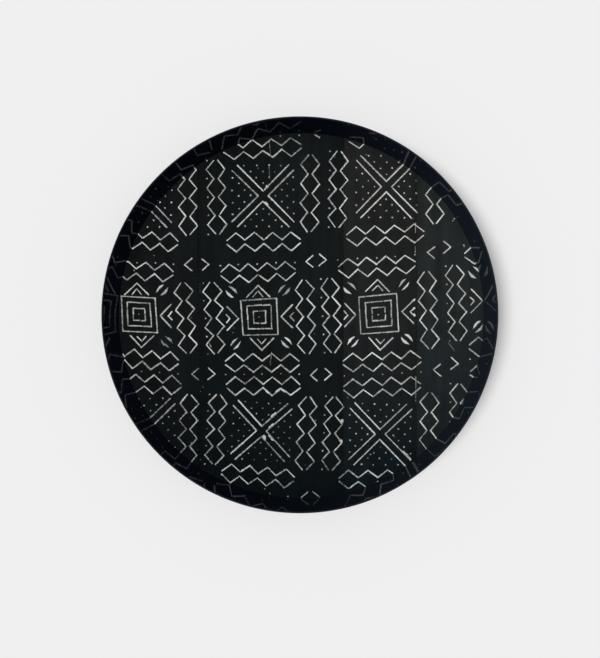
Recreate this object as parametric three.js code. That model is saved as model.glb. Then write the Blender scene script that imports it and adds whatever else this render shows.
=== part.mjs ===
// Round serving tray lined with bogolan mud cloth.
// Millimetres, +Z up. The origin is the centre of the face that the tray stands on.
// The cloth is handwoven cotton strips, sewn edge to edge along Y, cut round and laid flat
// on the tray's panel. A thin hoop stands round the panel as the tray's wall.

import * as THREE from 'three';

// Tray
const OUTER_DIAMETER = 480;
const TRAY_HEIGHT = 50;
const HOOP_WALL = 2;
const HOOP_FOOT_CHAMFER = 0.4;
const PANEL_THICKNESS = 5;
const PANEL_EDGE_CHAMFER = 0.5;

// Cloth
const CLOTH_THICKNESS = 1.2;
const CLOTH_TO_WALL = 1.4;
const STRIP_WIDTH = 95;
const STRIP_COUNT = 5;
const FIRST_SEAM_X = -135;

// Clearance between pieces that touch
const FIT_GAP = 0.3;

// Fineness of the round stretches
const ROUND_STEPS = 180;
const EDGE_ROUND_STEPS = 6;

const OUTER_RADIUS = OUTER_DIAMETER / 2;
const INNER_RADIUS = OUTER_RADIUS - HOOP_WALL;
const PANEL_RADIUS = INNER_RADIUS - FIT_GAP;
const CLOTH_RADIUS = INNER_RADIUS - CLOTH_TO_WALL;
const CLOTH_UNDERSIDE_Z = PANEL_THICKNESS + FIT_GAP;

const GLOSS_BLACK = new THREE.MeshStandardMaterial({ color: 0x0b0b0d, roughness: 0.1, metalness: 0 });
const SATIN_BLACK = new THREE.MeshStandardMaterial({ color: 0x121213, roughness: 0.45, metalness: 0 });
const DYED_COTTON = new THREE.MeshStandardMaterial({ color: 0x1b1d1d, roughness: 0.7, metalness: 0 });

// A solid of revolution about Z from a closed profile of [radius, height] points.
// The lathe turns about Y, so its result is laid over onto Z.
function turned(profile) {
  const points = profile.map(([radius, height]) => new THREE.Vector2(radius, height));
  const geometry = new THREE.LatheGeometry(points, ROUND_STEPS);
  geometry.rotateX(Math.PI / 2);
  return geometry;
}

// The hoop's section is a straight wall with a chamfered foot and a fully rounded top edge.
function hoopGeometry() {
  const roundRadius = HOOP_WALL / 2;
  const roundCentreRadius = INNER_RADIUS + roundRadius;
  const roundCentreHeight = TRAY_HEIGHT - roundRadius;
  const topEdge = [];
  for (let step = 0; step <= EDGE_ROUND_STEPS; step += 1) {
    const turn = (Math.PI * step) / EDGE_ROUND_STEPS;
    topEdge.push([
      roundCentreRadius + roundRadius * Math.cos(turn),
      roundCentreHeight + roundRadius * Math.sin(turn),
    ]);
  }
  const innerFoot = [INNER_RADIUS + HOOP_FOOT_CHAMFER, 0];
  return turned([
    innerFoot,
    [OUTER_RADIUS - HOOP_FOOT_CHAMFER, 0],
    [OUTER_RADIUS, HOOP_FOOT_CHAMFER],
    ...topEdge,
    [INNER_RADIUS, HOOP_FOOT_CHAMFER],
    innerFoot,
  ]);
}

// The panel's section starts and ends on the axis and has both edges chamfered.
function panelGeometry() {
  return turned([
    [0, 0],
    [PANEL_RADIUS - PANEL_EDGE_CHAMFER, 0],
    [PANEL_RADIUS, PANEL_EDGE_CHAMFER],
    [PANEL_RADIUS, PANEL_THICKNESS - PANEL_EDGE_CHAMFER],
    [PANEL_RADIUS - PANEL_EDGE_CHAMFER, PANEL_THICKNESS],
    [0, PANEL_THICKNESS],
  ]);
}

// The part of the round cloth between two straight cuts, at x = left and at x = right.
// A cut at the cloth's own radius takes nothing off that side.
function stripOutline(left, right) {
  const startAngle = Math.acos(right / CLOTH_RADIUS);
  const endAngle = Math.acos(left / CLOTH_RADIUS);
  const stepAngle = (2 * Math.PI) / ROUND_STEPS;
  const steps = Math.ceil((endAngle - startAngle) / stepAngle);
  const farSide = [];
  for (let step = 0; step <= steps; step += 1) {
    const angle = startAngle + ((endAngle - startAngle) * step) / steps;
    farSide.push(new THREE.Vector2(CLOTH_RADIUS * Math.cos(angle), CLOTH_RADIUS * Math.sin(angle)));
  }
  const nearSide = farSide
    .filter((point) => point.y > FIT_GAP)
    .map((point) => new THREE.Vector2(point.x, -point.y))
    .reverse();
  return new THREE.Shape([...farSide, ...nearSide]);
}

function stripGeometry(left, right) {
  return new THREE.ExtrudeGeometry(stripOutline(left, right), {
    depth: CLOTH_THICKNESS,
    bevelEnabled: false,
  });
}

function piece(name, geometry, material) {
  const mesh = new THREE.Mesh(geometry, material);
  mesh.name = name;
  return mesh;
}

// The strips from left to right. Each ends half a clearance short of its seams.
function clothStrips() {
  const cloth = new THREE.Group();
  cloth.position.z = CLOTH_UNDERSIDE_Z;
  for (let strip = 1; strip <= STRIP_COUNT; strip += 1) {
    const rightSeam = FIRST_SEAM_X + (strip - 1) * STRIP_WIDTH;
    const leftSeam = rightSeam - STRIP_WIDTH;
    const left = strip === 1 ? -CLOTH_RADIUS : leftSeam + FIT_GAP / 2;
    const right = strip === STRIP_COUNT ? CLOTH_RADIUS : rightSeam - FIT_GAP / 2;
    cloth.add(piece(`cloth_strip_${strip}`, stripGeometry(left, right), DYED_COTTON));
  }
  return cloth;
}

const tray = new THREE.Group();
tray.add(piece('tray_panel', panelGeometry(), SATIN_BLACK));
tray.add(piece('rim_hoop', hoopGeometry(), GLOSS_BLACK));
tray.add(clothStrips());

export default tray;
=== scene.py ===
"""Round serving tray lined with bogolan mud cloth.

A thin hoop of glossy black lacquer stands round a flat board. Five handwoven cotton strips, sewn edge to
edge, dyed black and painted with off-white lines, lie on the board out to the foot of the hoop. Nothing is
drawn on the hoop: what shows there is the cloth's mirror image.
"""
import logging
import math
import random
from dataclasses import dataclass, field
from enum import Enum
from typing import Callable, Iterable, Sequence

import bmesh
import bpy
from mathutils import Matrix, Vector, noise
from mathutils.geometry import delaunay_2d_cdt


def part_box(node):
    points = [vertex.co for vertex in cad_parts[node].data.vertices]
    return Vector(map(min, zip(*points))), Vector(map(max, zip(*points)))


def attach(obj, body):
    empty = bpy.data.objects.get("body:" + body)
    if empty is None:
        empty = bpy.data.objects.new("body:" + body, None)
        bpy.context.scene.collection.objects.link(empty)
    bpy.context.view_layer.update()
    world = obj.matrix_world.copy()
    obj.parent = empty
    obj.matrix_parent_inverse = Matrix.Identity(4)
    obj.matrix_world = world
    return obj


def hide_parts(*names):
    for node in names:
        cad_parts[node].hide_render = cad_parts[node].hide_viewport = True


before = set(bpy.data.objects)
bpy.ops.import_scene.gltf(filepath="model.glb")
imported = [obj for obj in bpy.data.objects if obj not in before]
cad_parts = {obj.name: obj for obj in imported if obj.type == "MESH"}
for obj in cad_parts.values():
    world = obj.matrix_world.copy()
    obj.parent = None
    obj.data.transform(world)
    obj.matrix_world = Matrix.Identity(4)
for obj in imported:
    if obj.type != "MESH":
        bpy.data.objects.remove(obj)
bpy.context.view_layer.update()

MM = 0.001
# Places closer together than this, in metres, count as one
HAIR = 0.01 * MM
Point = tuple[float, float]
Place = tuple[float, float, float]
Colour = tuple[float, float, float, float]
# The two values that a ramp starts from, and the two that it turns them into
Ramp = tuple[float, float, float, float]
Piece = bpy.types.Object
Tree = bpy.types.NodeTree
Socket = bpy.types.NodeSocket
LOG = logging.getLogger("tray")


def linear(hex_colour: str) -> Colour:
    """Turns an sRGB hex colour into the linear RGBA that a shader reads.

    Args:
        hex_colour: Six hex digits after a #.

    Returns:
        Linear red, green and blue, and an alpha of 1.
    """
    channels = [int(hex_colour[i : i + 2], 16) / 255 for i in (1, 3, 5)]
    red, green, blue = (c / 12.92 if c <= 0.04045 else ((c + 0.055) / 1.055) ** 2.4 for c in channels)
    return red, green, blue, 1.0


def add_node(
    tree: Tree, kind: str, inputs: dict | Sequence = (), out: int | str = 0, **settings: object
) -> Socket | None:
    """Adds a shader node with its settings and links.

    Args:
        tree: The node tree that gets the node.
        kind: The node's type without its first word, such as "Math".
        inputs: Output sockets to link or values to set, in order, or by the input's name or number.
        out: The output that is wanted, by name or number.
        **settings: The node's own properties.

    Returns:
        The wanted output, or None where the node has no outputs.
    """
    node = tree.nodes.new(f"ShaderNode{kind}")
    for name, value in settings.items():
        setattr(node, name, value)
    for key, value in inputs.items() if isinstance(inputs, dict) else enumerate(inputs):
        if isinstance(value, bpy.types.NodeSocket):
            tree.links.new(value, node.inputs[key])
        else:
            node.inputs[key].default_value = value
    return node.outputs[out] if node.outputs else None


# Finishes


class Finish:
    """A finish, made of one shader whose inputs each kind of finish gives."""

    name: str

    def surface(self, tree: Tree) -> dict[str, object]:
        """Draws the finish's patterns.

        Args:
            tree: The material's node tree.

        Returns:
            The shader's inputs by name.
        """
        raise NotImplementedError

    def material(self) -> bpy.types.Material:
        """Builds the material.

        Returns:
            The material.
        """
        material = bpy.data.materials.new(self.name)
        material.use_nodes = True
        tree = material.node_tree
        tree.nodes.clear()
        shader = add_node(tree, "BsdfPrincipled", self.surface(tree))
        add_node(tree, "OutputMaterial", {"Surface": shader})
        return material


@dataclass(frozen=True)
class MudDyedCotton(Finish):
    """Handspun cotton in plain weave, dyed with leaves and fermented mud, with lines left off-white.

    To the eye it is a soft matt black that goes from greenish to brownish and has a faint sheen. The lines
    are drawn by hand, so their edges are rough and the weave breaks through where the brush ran dry. The
    strips' meshes carry the attributes that it reads: paint, dry, near and dye. The dye's colour also holds
    painted light: lighter towards each strip's far end, darker towards its near end.
    """

    name: str = "mud_dyed_handwoven_cotton"
    line_cream: str = "#EAEDE9"
    line_thin: str = "#8E9290"
    mud_tint: Colour = (1.22, 1.06, 0.93, 1.0)
    # Handspun thread lies 0.7 to 0.9 mm apart and is too fine to show, so it is drawn coarser
    warp_pitch_mm: float = 1.1
    weft_pitch_mm: float = 1.25
    thread_relief_mm: float = 0.22
    relief_strength: float = 0.5
    crossing: Ramp = (-0.5, 0.5, 0.0, 1.0)
    roughness: float = 0.42
    specular: float = 0.10
    sheen: float = 0.02
    sheen_roughness: float = 0.5
    ior: float = 1.45
    edge_grain_mm: float = 0.9
    brush_grain_mm: float = 2.6
    mottle_mm: float = 38.0
    streak_mm: float = 9.0
    streak_width_to_length: float = 0.06
    ragged_edge: Ramp = (0.25, 0.75, -0.36, 0.36)
    uneven_width: Ramp = (0.3, 0.7, -0.22, 0.22)
    line_edge: Ramp = (0.88, 1.12, 1.0, 0.0)
    bare_hollows: Ramp = (0.0, 0.9, 0.55, 0.0)
    brush_skips: Ramp = (0.42, 0.66, 0.0, 0.72)
    second_coat: Ramp = (0.55, 1.25, 1.0, 0.0)
    dye_depth: Ramp = (0.7, 1.3, 0.70, 1.36)
    thin_paint: Ramp = (0.0, 0.55, 0.45, 0.0)
    worn_paint: Ramp = (0.3, 0.7, 0.77, 0.98)
    dry_paint: Ramp = (0.0, 1.0, 1.0, 0.55)

    def weave(self, tree: Tree, place: Socket) -> Socket:
        """Draws the height of a plain weave, warp threads along Y and weft threads along X.

        Args:
            tree: The material's node tree.
            place: Object coordinates in metres.

        Returns:
            A socket that runs from 0 between the threads to 1 on top of them.
        """
        waves = []
        for axis, pitch in (("X", self.warp_pitch_mm), ("Y", self.weft_pitch_mm)):
            across = add_node(tree, "SeparateXYZ", (place,), axis)
            turn = add_node(tree, "Math", (across, math.pi / (pitch * MM)), operation="MULTIPLY")
            waves.append(add_node(tree, "Math", (turn,), operation="SINE"))
        over = add_node(tree, "Math", waves, operation="MULTIPLY")
        warp, weft = (add_node(tree, "Math", (wave, 2.0), operation="POWER") for wave in waves)
        share = add_node(tree, "MapRange", (over, *self.crossing))
        return add_node(tree, "Mix", {0: share, 2: warp, 3: weft})

    def cover(self, tree: Tree, weave: Socket, edge: Socket, brush: Socket, dry: Socket) -> Socket:
        """Works out where paint lies on the cloth.

        Args:
            tree: The material's node tree.
            weave: The weave's height.
            edge: The grain of a line's edge.
            brush: The grain of the brush.
            dry: How dry the brush was.

        Returns:
            A socket that is 1 on paint and 0 on bare cloth.
        """
        paint = add_node(tree, "Attribute", out="Fac", attribute_name="paint")
        wander = add_node(tree, "MapRange", (edge, *self.ragged_edge))
        swell = add_node(tree, "MapRange", (brush, *self.uneven_width))
        uneven = add_node(tree, "Math", (wander, swell), operation="ADD")
        moved = add_node(tree, "Math", (paint, uneven), operation="ADD")
        inside = add_node(tree, "MapRange", (moved, *self.line_edge), interpolation_type="SMOOTHSTEP")
        # A dry brush leaves the valleys of the weave bare, and skips here and there
        hollows = add_node(tree, "MapRange", (weave, *self.bare_hollows))
        skips = add_node(tree, "MapRange", (brush, *self.brush_skips))
        lack = add_node(tree, "Math", (skips, hollows), operation="ADD")
        missed = add_node(tree, "Math", (lack, dry), operation="MULTIPLY", use_clamp=True)
        kept = add_node(tree, "Math", (1.0, missed), operation="SUBTRACT")
        return add_node(tree, "Math", (inside, kept), operation="MULTIPLY")

    def ground(self, tree: Tree, place: Socket, mottle: Socket) -> Socket:
        """Mixes the colour of the dyed cloth.

        Args:
            tree: The material's node tree.
            place: Object coordinates in metres.
            mottle: The dye's large patches.

        Returns:
            The colour.
        """
        near = add_node(tree, "Attribute", out="Fac", attribute_name="near")
        # Besides the dye, this holds painted light: lighter at a strip's far end, darker at its near end
        dye = add_node(tree, "Attribute", out="Color", attribute_name="dye")
        # The mud is brushed on round the lines, where a second coat leaves it browner
        coat = add_node(tree, "Math", (mottle, near), operation="ADD")
        second = add_node(tree, "MapRange", (coat, *self.second_coat), interpolation_type="SMOOTHSTEP")
        mixing = {"data_type": "RGBA", "blend_type": "MULTIPLY"}
        dyed = add_node(tree, "Mix", {0: second, 6: dye, 7: self.mud_tint}, 2, **mixing)
        # Warp threads take the dye unevenly along their length, so the streaks run along the strips
        stretch = (1.0, self.streak_width_to_length, 1.0)
        long_way = add_node(tree, "Mapping", {"Vector": place, "Scale": stretch})
        streak_scale = 1 / (self.streak_mm * MM)
        streak = add_node(tree, "TexNoise", {"Vector": long_way, "Scale": streak_scale, "Detail": 2.0}, "Fac")
        depth = add_node(tree, "Math", (streak, mottle), operation="ADD")
        light = add_node(tree, "MapRange", (depth, *self.dye_depth))
        return add_node(tree, "VectorMath", {0: dyed, "Scale": light}, operation="SCALE")

    def lines(self, tree: Tree, weave: Socket, mottle: Socket, dry: Socket) -> Socket:
        """Mixes the colour of the painted lines.

        Args:
            tree: The material's node tree.
            weave: The weave's height.
            mottle: The patches in which the cloth is worn.
            dry: How dry the brush was.

        Returns:
            The colour.
        """
        # The paint is thin in the valleys of the weave, where the dye shows through
        thin = add_node(tree, "MapRange", (weave, *self.thin_paint))
        creams = {6: linear(self.line_cream), 7: linear(self.line_thin)}
        cream = add_node(tree, "Mix", {0: thin, **creams}, 2, data_type="RGBA")
        # Paint from a dry brush is thin and dull, and wear has left it duller in some places than in others
        worn = add_node(tree, "MapRange", (mottle, *self.worn_paint))
        thinned = add_node(tree, "MapRange", (dry, *self.dry_paint))
        full = add_node(tree, "Math", (worn, thinned), operation="MULTIPLY")
        return add_node(tree, "VectorMath", {0: cream, "Scale": full}, operation="SCALE")

    def surface(self, tree: Tree) -> dict[str, object]:
        """Lays the lines over the dyed weave.

        Args:
            tree: The material's node tree.

        Returns:
            The shader's inputs by name.
        """
        place = add_node(tree, "TexCoord", out="Object")
        dry = add_node(tree, "Attribute", out="Fac", attribute_name="dry")
        grains = ((self.edge_grain_mm, 2.0), (self.brush_grain_mm, 3.0), (self.mottle_mm, 3.0))
        edge, brush, mottle = (
            add_node(tree, "TexNoise", {"Vector": place, "Scale": 1 / (size * MM), "Detail": detail}, "Fac")
            for size, detail in grains
        )
        weave = self.weave(tree, place)
        cover = self.cover(tree, weave, edge, brush, dry)
        shades = {6: self.ground(tree, place, mottle), 7: self.lines(tree, weave, mottle, dry)}
        relief = {"Height": weave, "Strength": self.relief_strength, "Distance": self.thread_relief_mm * MM}
        return {
            "Base Color": add_node(tree, "Mix", {0: cover, **shades}, 2, data_type="RGBA"),
            "Roughness": self.roughness,
            "Sheen Weight": self.sheen,
            "Sheen Roughness": self.sheen_roughness,
            "IOR": self.ior,
            "Specular IOR Level": self.specular,
            "Normal": add_node(tree, "Bump", relief),
        }


@dataclass(frozen=True)
class BlackLacquer(Finish):
    """Black lacquer, rubbed and polished to a mirror gloss.

    To the eye it is a blue-black so smooth that it mirrors what stands next to it, with a slight waviness.
    The IOR is below a real lacquer's 1.5, because the mirror image is fainter here than that would give.
    """

    name: str = "polished_black_lacquer"
    colour: str = "#0D131F"
    ior: float = 1.22
    wave_mm: float = 55.0
    wave_relief_mm: float = 0.02
    haze_mm: float = 14.0
    roughness: Ramp = (0.3, 0.7, 0.0315, 0.0675)

    def surface(self, tree: Tree) -> dict[str, object]:
        """Gives the gloss a slight haze and waviness.

        Args:
            tree: The material's node tree.

        Returns:
            The shader's inputs by name.
        """
        place = add_node(tree, "TexCoord", out="Object")
        wave, haze = (
            add_node(tree, "TexNoise", {"Vector": place, "Scale": 1 / (size * MM), "Detail": detail}, "Fac")
            for size, detail in ((self.wave_mm, 1.0), (self.haze_mm, 3.0))
        )
        relief = {"Height": wave, "Strength": 1.0, "Distance": self.wave_relief_mm * MM}
        return {
            "Base Color": linear(self.colour),
            "Roughness": add_node(tree, "MapRange", (haze, *self.roughness)),
            "IOR": self.ior,
            "Normal": add_node(tree, "Bump", relief),
        }


@dataclass(frozen=True)
class PaintedBoard(Finish):
    """Fine board under brushed black paint, satin.

    To the eye it is an even near-black with a soft highlight, faint brush marks and a few scuffs.
    """

    name: str = "satin_painted_board"
    colour: str = "#151516"
    scuffed: str = "#2A2A2B"
    ior: float = 1.5
    brush_mm: float = 1.4
    brush_width_to_length: float = 0.03
    brush_relief_mm: float = 0.05
    relief_strength: float = 0.4
    scuff_mm: float = 26.0
    scuffs: Ramp = (0.56, 0.74, 0.0, 0.7)
    roughness: Ramp = (0.0, 1.0, 0.357, 0.525)

    def surface(self, tree: Tree) -> dict[str, object]:
        """Draws the brush marks and the scuffs.

        Args:
            tree: The material's node tree.

        Returns:
            The shader's inputs by name.
        """
        place = add_node(tree, "TexCoord", out="Object")
        stretch = (1.0, self.brush_width_to_length, 1.0)
        along = add_node(tree, "Mapping", {"Vector": place, "Scale": stretch})
        brush, scuff = (
            add_node(tree, "TexNoise", {"Vector": where, "Scale": 1 / (size * MM), "Detail": detail}, "Fac")
            for where, size, detail in ((along, self.brush_mm, 2.0), (place, self.scuff_mm, 8.0))
        )
        worn = add_node(tree, "MapRange", (scuff, *self.scuffs))
        shades = {6: linear(self.colour), 7: linear(self.scuffed)}
        relief = {"Height": brush, "Strength": self.relief_strength, "Distance": self.brush_relief_mm * MM}
        return {
            "Base Color": add_node(tree, "Mix", {0: worn, **shades}, 2, data_type="RGBA"),
            "Roughness": add_node(tree, "MapRange", (brush, *self.roughness)),
            "IOR": self.ior,
            "Normal": add_node(tree, "Bump", relief),
        }


@dataclass(frozen=True)
class TwistedThread(Finish):
    """Two-ply cotton sewing thread, dyed with the cloth.

    To the eye it is a matt black cord with a fine slanting twist.
    """

    name: str = "dyed_twisted_cotton_thread"
    colour: str = "#1B1D1D"
    faded: str = "#4A4A46"
    roughness: float = 0.75
    twist_mm: float = 0.7
    twist_slant: float = 25.0
    twist_wander: float = 0.4
    twist_relief_mm: float = 0.1
    relief_strength: float = 0.6
    fade_mm: float = 12.0
    fade_and_painted_light: Ramp = (0.5, 0.8, 0.0, 0.6)

    def surface(self, tree: Tree) -> dict[str, object]:
        """Draws the twist and the faded places.

        Args:
            tree: The material's node tree.

        Returns:
            The shader's inputs by name.
        """
        place = add_node(tree, "TexCoord", out="Object")
        slant = (0.0, 0.0, math.radians(self.twist_slant))
        turned = add_node(tree, "Mapping", {"Vector": place, "Rotation": slant})
        twist = {"Vector": turned, "Scale": 0.5 / (self.twist_mm * MM), "Distortion": self.twist_wander}
        ply = add_node(tree, "TexWave", twist, "Fac")
        patches = {"Vector": place, "Scale": 1 / (self.fade_mm * MM), "Detail": 2.0}
        faded = add_node(tree, "MapRange", (add_node(tree, "TexNoise", patches, "Fac"), *self.fade_and_painted_light))
        shades = {6: linear(self.colour), 7: linear(self.faded)}
        relief = {"Height": ply, "Strength": self.relief_strength, "Distance": self.twist_relief_mm * MM}
        return {
            "Base Color": add_node(tree, "Mix", {0: faded, **shades}, 2, data_type="RGBA"),
            "Roughness": self.roughness,
            "Normal": add_node(tree, "Bump", relief),
        }


@dataclass(frozen=True)
class PaleSurface(Finish):
    """The plain pale surface that the tray stands on, matt and even to the eye."""

    name: str = "pale_matt_surface"
    colour: str = "#F2F2F1"
    roughness: float = 0.9
    specular: float = 0.1

    def surface(self, tree: Tree) -> dict[str, object]:
        """Gives the plain shader's inputs.

        Args:
            tree: The material's node tree, which gets no pattern. Not used.

        Returns:
            The shader's inputs by name.
        """
        return {
            "Base Color": linear(self.colour),
            "Roughness": self.roughness,
            "Specular IOR Level": self.specular,
        }


# The painted pattern, in millimetres on the cloth


# How far from a stroke's middle its paint is followed, in half widths
FADE = 2.2
# How far from a stroke the second coat of mud reaches
MUD_REACH = 9.0


def between(start: Point, end: Point, share: float) -> Point:
    """Gives the point that lies this share of the way from one point to another."""
    return start[0] + share * (end[0] - start[0]), start[1] + share * (end[1] - start[1])


def beside(middle: Point, turn: float, length: float, side: float = 0.0) -> Point:
    """Gives the point this far from a middle in a direction in radians, and this far to its left."""
    cosine, sine = math.cos(turn), math.sin(turn)
    return middle[0] + length * cosine - side * sine, middle[1] + length * sine + side * cosine


@dataclass(frozen=True)
class Stroke:
    """One straight pull of the brush, or one dot where both ends are close together.

    Attributes:
        start: Where it begins.
        end: Where it ends.
        half_width: Half the line's width where it begins.
        half_end: Half the line's width where it ends.
        dry: How dry the brush is, from 0 to 1.
    """

    start: Point
    end: Point
    half_width: float
    half_end: float
    dry: float

    def reach(self, place: Point) -> float:
        """Tells how far a place is from the stroke's middle, in half widths.

        Args:
            place: A point on the cloth.

        Returns:
            0 on the middle line and 1 on the stroke's edge.
        """
        (ax, ay), (bx, by) = self.start, self.end
        dx, dy = bx - ax, by - ay
        length_squared = dx * dx + dy * dy
        share = 0.0
        if length_squared > 0:
            share = min(1.0, max(0.0, ((place[0] - ax) * dx + (place[1] - ay) * dy) / length_squared))
        half = self.half_width + share * (self.half_end - self.half_width)
        return math.hypot(place[0] - ax - share * dx, place[1] - ay - share * dy) / half

    def widest(self) -> float:
        """Gives the greater of the two half widths."""
        return max(self.half_width, self.half_end)


class DotSide(Enum):
    """The side of a chain that has a row of dots, for one who looks along the chain."""

    NONE = 0
    LEFT = 1
    RIGHT = -1


@dataclass(frozen=True)
class Chain:
    """Diamonds in a row between two mirrored zigzag lines, which don't touch at the necks or the ends.

    Attributes:
        x: Middle of the chain.
        y: Middle of the chain.
        heading: Direction of the chain, in degrees from +X.
        pitch: Length of one diamond.
        dots: The side with dots at the necks and ends.
        dot_distance: How far the dots are from the chain's middle line.
    """

    x: float
    y: float
    heading: float
    pitch: float = 24.0
    dots: DotSide = DotSide.NONE
    dot_distance: float = 11.5

    DIAMONDS = 4
    HALF_WIDTH = 12.2
    NECK = 2.5
    DOT_SIZE = 0.9

    def place(self, step: int, side: float) -> Point:
        """Gives the point this many half diamonds from the start and this far left of the middle line."""
        length = -self.pitch * Chain.DIAMONDS / 2 + step * self.pitch / 2
        return beside((self.x, self.y), math.radians(self.heading), length, side)


@dataclass(frozen=True)
class Cross:
    """Four chevrons point to point, whose arms make a cross of double lines, with a triangle of dots in each.

    Attributes:
        x: Middle of the cross.
        y: Middle of the cross.
        rising: Slope of the arms that rise to the right, in degrees.
        falling: Slope of the arms that fall to the right, in degrees.
        size: Its size against the usual one.
        dot: Its dots' width against the usual one.
    """

    x: float
    y: float
    rising: float = 45.0
    falling: float = 45.0
    size: float = 1.0
    dot: float = 1.0

    TIP = 6.6
    ARM = 33.5
    LINE_WIDTH = 1.04
    SLIP = 0.45
    # The number of dots in each row of a triangle, and how far out the row lies
    DOT_ROWS = ((1, 16.4), (2, 23.8), (3, 31.4), (4, 39.6))
    DOT_SPACING = 15.9
    QUARTER_TURNS = ((1, 0), (0, 1), (-1, 0), (0, -1))

    def place(self, quarter: int, side: float, out: float) -> Point:
        """Finds a point of one chevron, whose arms slope as the cross's do.

        Args:
            quarter: The chevron, from 0 for the far one, counterclockwise.
            side: How far the point is to the chevron's side.
            out: How far out it is from the cross's middle.

        Returns:
            The point on the cloth.
        """
        cosine, sine = Cross.QUARTER_TURNS[quarter]
        right, far = side * cosine - out * sine, side * sine + out * cosine
        rising, falling = math.radians(self.rising), math.radians(self.falling)
        up = (math.cos(rising) / math.sqrt(2), math.sin(rising) / math.sqrt(2))
        down = (math.cos(falling) / math.sqrt(2), -math.sin(falling) / math.sqrt(2))
        rise, fall = right + far, right - far
        return self.x + rise * up[0] + fall * down[0], self.y + rise * up[1] + fall * down[1]


@dataclass(frozen=True)
class SplitOval:
    """Two filled crescents with a gap between them.

    Attributes:
        x: Its middle.
        y: Its middle.
        gap: How far each crescent is from its middle line.
        wear: How dry the brush was.
    """

    x: float
    y: float
    gap: float = 3.1
    wear: float = 0.25

    HALF_LENGTH = 6.4
    # A crescent has this many strokes on each side of its middle one, and ends a little past the last
    STROKES = 4
    END = 4.2
    HALF_STROKE = 0.9
    # The least half width, and the power by which the crescent narrows towards its ends
    THINNEST = 0.25
    BLUNTNESS = 1.7


@dataclass(frozen=True)
class NestedSquares:
    """Three outlines one inside the other and a dot, with chevrons and split ovals round them.

    Attributes:
        corners: Outer corners, from the far left one clockwise.
        top: Tip of the chevron above.
        bottom: Tip of the chevron below.
        left: Tip of the chevron on the left, or None.
        right: Tip of the chevron on the right, or None.
        ovals: The split ovals at its corners.
    """

    corners: tuple[Point, Point, Point, Point]
    top: Point
    bottom: Point
    left: Point | None
    right: Point | None
    ovals: tuple[SplitOval, ...]

    # Each outline's size against the outermost, the number of dabs in a side and the bare length between dabs
    OUTLINES = ((1.0, 1, 0.9), (0.67, 3, 1.9), (0.345, 2, 2.7))
    DOT_SIZE = 0.8
    # A chevron's half width and depth, and how far its inner one's tip lies behind its own
    TALL_CHEVRON = (15.2, 15.4)
    FAR_INNER = (6.4, 7.2)
    NEAR_INNER = (5.3, 6.4)
    TALL_STEP = 7.6
    TALL_INNER_WIDTH = 0.85
    WIDE_CHEVRON = (15.2, 14.8)
    WIDE_INNER = (5.2, 5.0)
    WIDE_STEP = 10.6
    WIDE_WIDTH = 1.1


@dataclass(frozen=True)
class AnglePair:
    """A left and a right angle mark that stand where four chains meet.

    Attributes:
        left: Tip of the mark that points left.
        right: Tip of the mark that points right.
    """

    left: Point
    right: Point

    CHEVRON = (7.6, 9.0)


# Each row is a motif where the painter put it. Upright chains head a little off 90 degrees.
CHAINS = (
    Chain(-50.7, 217.6, 3.0, 25.1),
    Chain(-49.1, 96.2, 1.3, 24.0),
    Chain(-56.7, 56.1, 2.5, 24.2, DotSide.LEFT),
    Chain(-50.7, -61.3, 0.0, 24.0, DotSide.RIGHT, 14.8),
    Chain(-49.7, -91.7, -0.3, 24.0),
    Chain(-56.5, -208.5, -5.2, 23.6),
    Chain(109.4, 105.0, 2.6, 25.1),
    Chain(98.5, 64.3, 3.7, 25.0, DotSide.LEFT),
    Chain(105.1, -59.7, 2.4, 25.1, DotSide.RIGHT, 16.2),
    Chain(105.3, -93.0, 2.5, 25.0),
    Chain(99.8, -213.1, 0.8, 25.2),
    Chain(-207.2, 98.2, -4.8, 23.3),
    Chain(-214.8, 58.3, -3.8, 23.8, DotSide.LEFT),
    Chain(-206.9, -57.0, -4.1, 23.6, DotSide.RIGHT, 15.4),
    Chain(-204.2, -88.9, -2.5, 23.6),
    Chain(261.6, 83.4, 5.5, 24.5, DotSide.LEFT),
    Chain(268.0, -40.0, 1.0, 24.5, DotSide.RIGHT, 16.0),
    Chain(269.5, -74.0, 1.0, 24.5),
    Chain(112.2, 232.3, 3.0, 25.0),
    Chain(-148.5, 153.3, 91.5, 24.1),
    Chain(-110.5, 154.5, 91.5, 24.0, DotSide.LEFT),
    Chain(11.2, 159.4, 89.2, 25.0),
    Chain(48.0, 164.6, 88.6, 24.6, DotSide.LEFT),
    Chain(174.0, 169.8, 90.0, 24.8),
    Chain(211.0, 176.0, 89.5, 24.8, DotSide.LEFT),
    Chain(-150.8, -3.3, 94.4, 23.0),
    Chain(-113.7, -3.0, 93.6, 23.1, DotSide.LEFT),
    Chain(5.5, -1.4, 92.5, 23.9),
    Chain(39.0, 0.1, 92.7, 24.1, DotSide.LEFT),
    Chain(165.4, 7.0, 92.9, 25.1),
    Chain(201.9, 16.4, 92.9, 24.5, DotSide.LEFT),
    Chain(-147.3, -148.1, 88.0, 22.5),
    Chain(-111.1, -148.1, 86.3, 22.6, DotSide.LEFT),
    Chain(6.2, -153.4, 86.9, 23.9),
    Chain(40.7, -153.4, 86.9, 23.8, DotSide.LEFT),
    Chain(166.0, -149.8, 88.5, 24.5),
    Chain(204.4, -138.3, 88.0, 24.5, DotSide.LEFT),
)
CROSSES = (
    Cross(-50.0, 156.0, 45.5, 44.5),
    Cross(-52.0, -150.4, 41.4, 47.8, 0.94, 0.8),
    Cross(110.9, 168.0, 45.6, 46.0),
    Cross(102.7, -154.6, 43.6, 46.0),
    Cross(-208.1, 156.0, 45.0, 46.5),
    Cross(-204.8, -147.8, 44.5, 45.0),
)
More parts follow.
